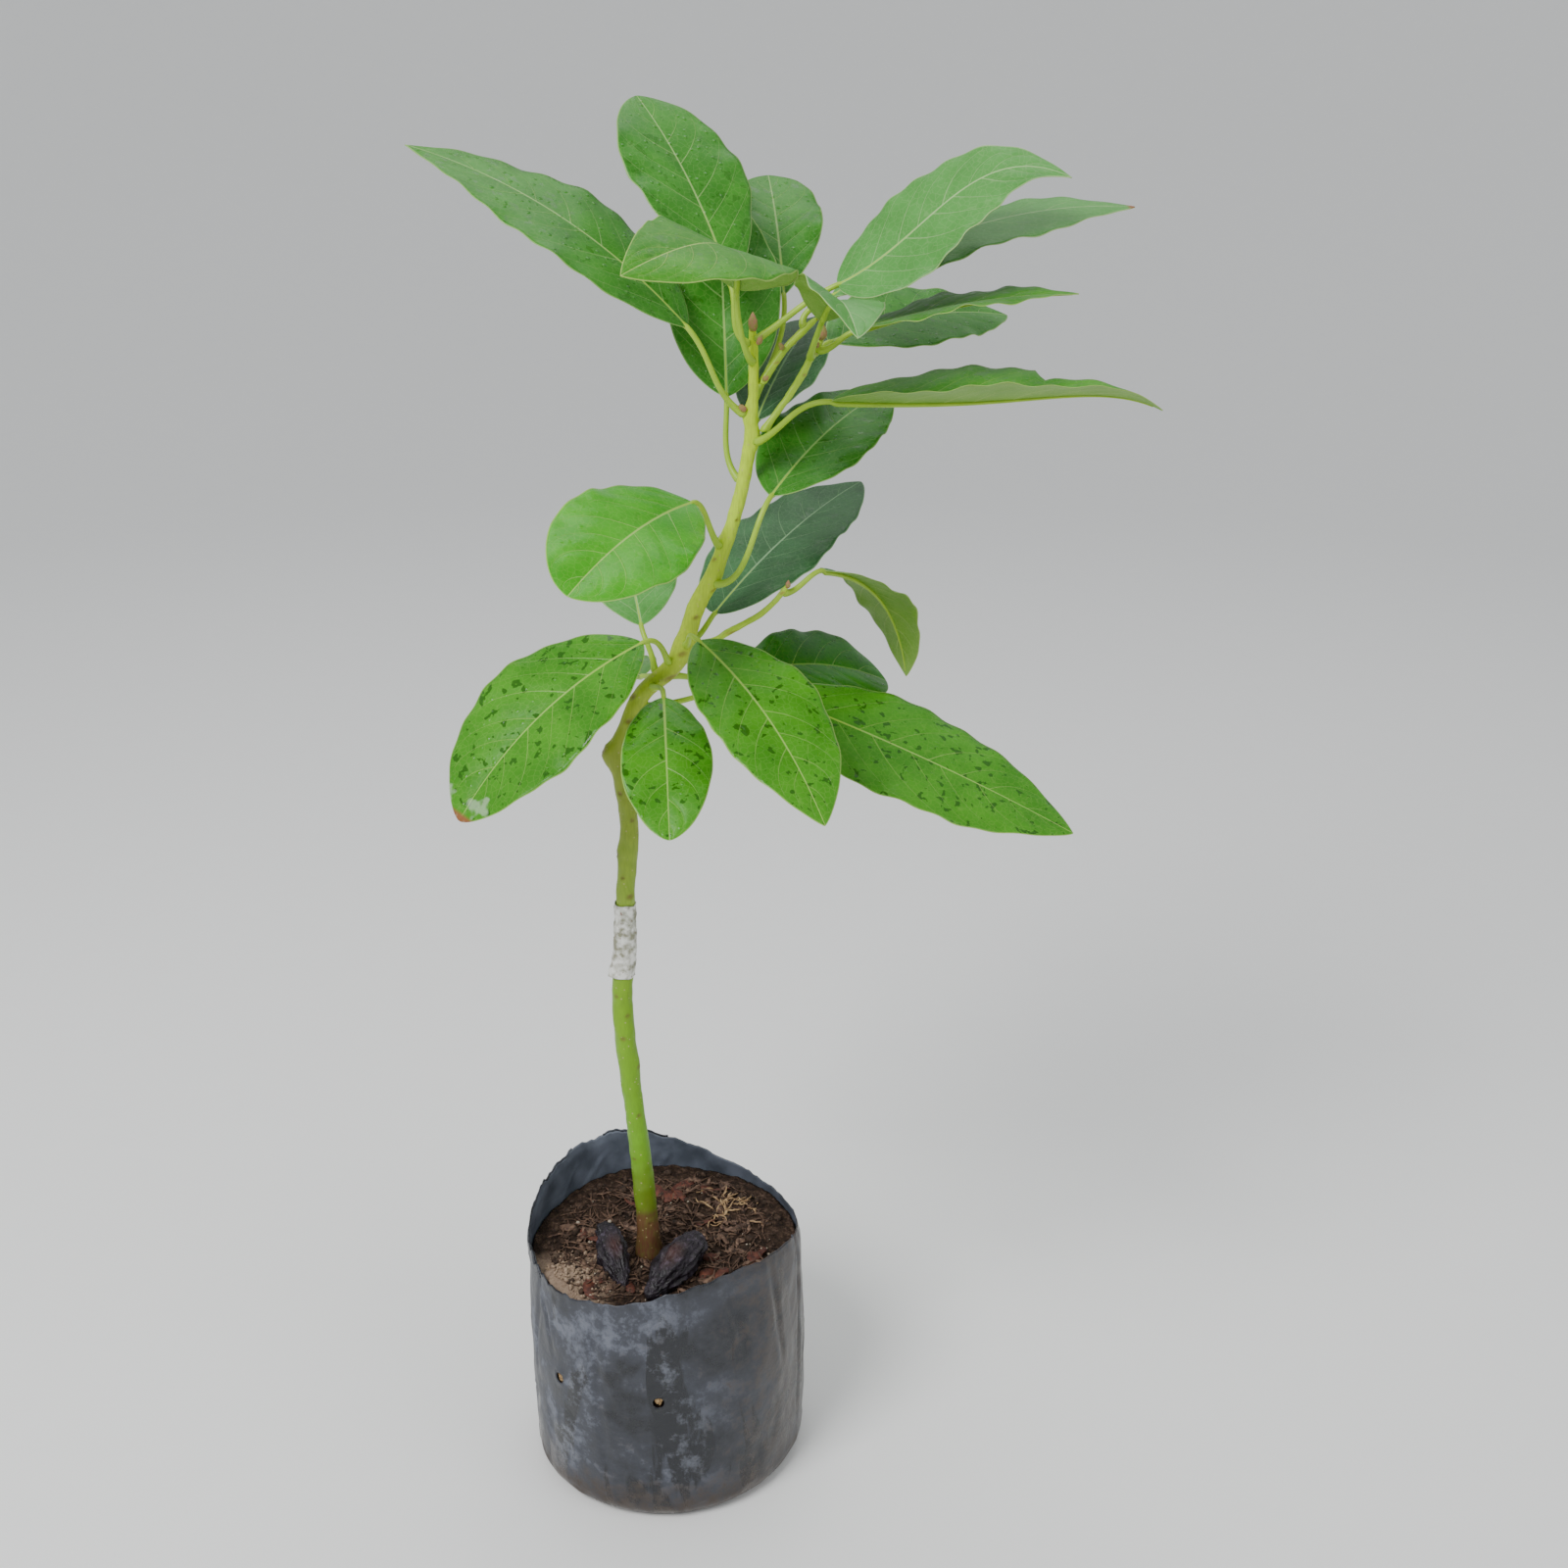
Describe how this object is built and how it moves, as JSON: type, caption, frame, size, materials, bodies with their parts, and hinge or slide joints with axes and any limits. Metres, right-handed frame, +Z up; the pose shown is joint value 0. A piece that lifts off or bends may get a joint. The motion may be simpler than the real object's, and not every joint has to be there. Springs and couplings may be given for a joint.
{
  "type": "potted avocado tree",
  "caption": "Young grafted avocado tree with large drooping leaves on a slim leaning green stem, growing from its split seed in a black film nursery bag of soil.",
  "frame": {"origin": "centre of the flat underside of the bag, on the surface that it stands on", "axes": "+Z up, -Y the side that the picture looks at, +X to the right in that view"},
  "size_m": [0.3393, 0.2355, 0.7213],
  "materials": {
    "bag_film": "black polyethylene film, dusty and wet in streaks",
    "soil": "damp dark brown soil with husk and wood bits",
    "seed_coat": "shrivelled, purple black",
    "green_bark": "smooth green bark with small brown scars",
    "graft_film": "old pale grafting film",
    "green_shoot": "smooth yellow green",
    "leaf": "waxy green leaf with pale veins"
  },
  "bodies": {
    "root": {"grow_bag": "bag_film", "potting_soil": "soil", "seed_half_left": "seed_coat", "seed_half_right": "seed_coat", "trunk": "green_bark", "graft_wrap": "graft_film", "shoot_right": "green_shoot", "shoot_middle": "green_shoot", "twig_low_right": "green_shoot", "leaf_01_left_high": "leaf", "leaf_02_back_high": "leaf", "leaf_03_front_high": "leaf", "leaf_04_back_inner": "leaf", "leaf_05_back_right_high": "leaf", "leaf_06_right_high": "leaf", "leaf_07_right_high_rear": "leaf", "leaf_08_right_shaded": "leaf", "leaf_09_right_level": "leaf", "leaf_10_right_small": "leaf", "leaf_11_right_long": "leaf", "leaf_12_right_mid": "leaf", "leaf_13_back_mid": "leaf", "leaf_14_left_mid": "leaf", "leaf_15_back_left_mid": "leaf", "leaf_16_right_hanging": "leaf", "leaf_17_left_low": "leaf", "leaf_18_front_low": "leaf", "leaf_19_front_right_low": "leaf", "leaf_20_back_right_low": "leaf", "leaf_21_right_low": "leaf", "leaf_22_back_right_mid": "leaf", "leaf_23_back_left_low": "leaf"}
  },
  "joints": []
}
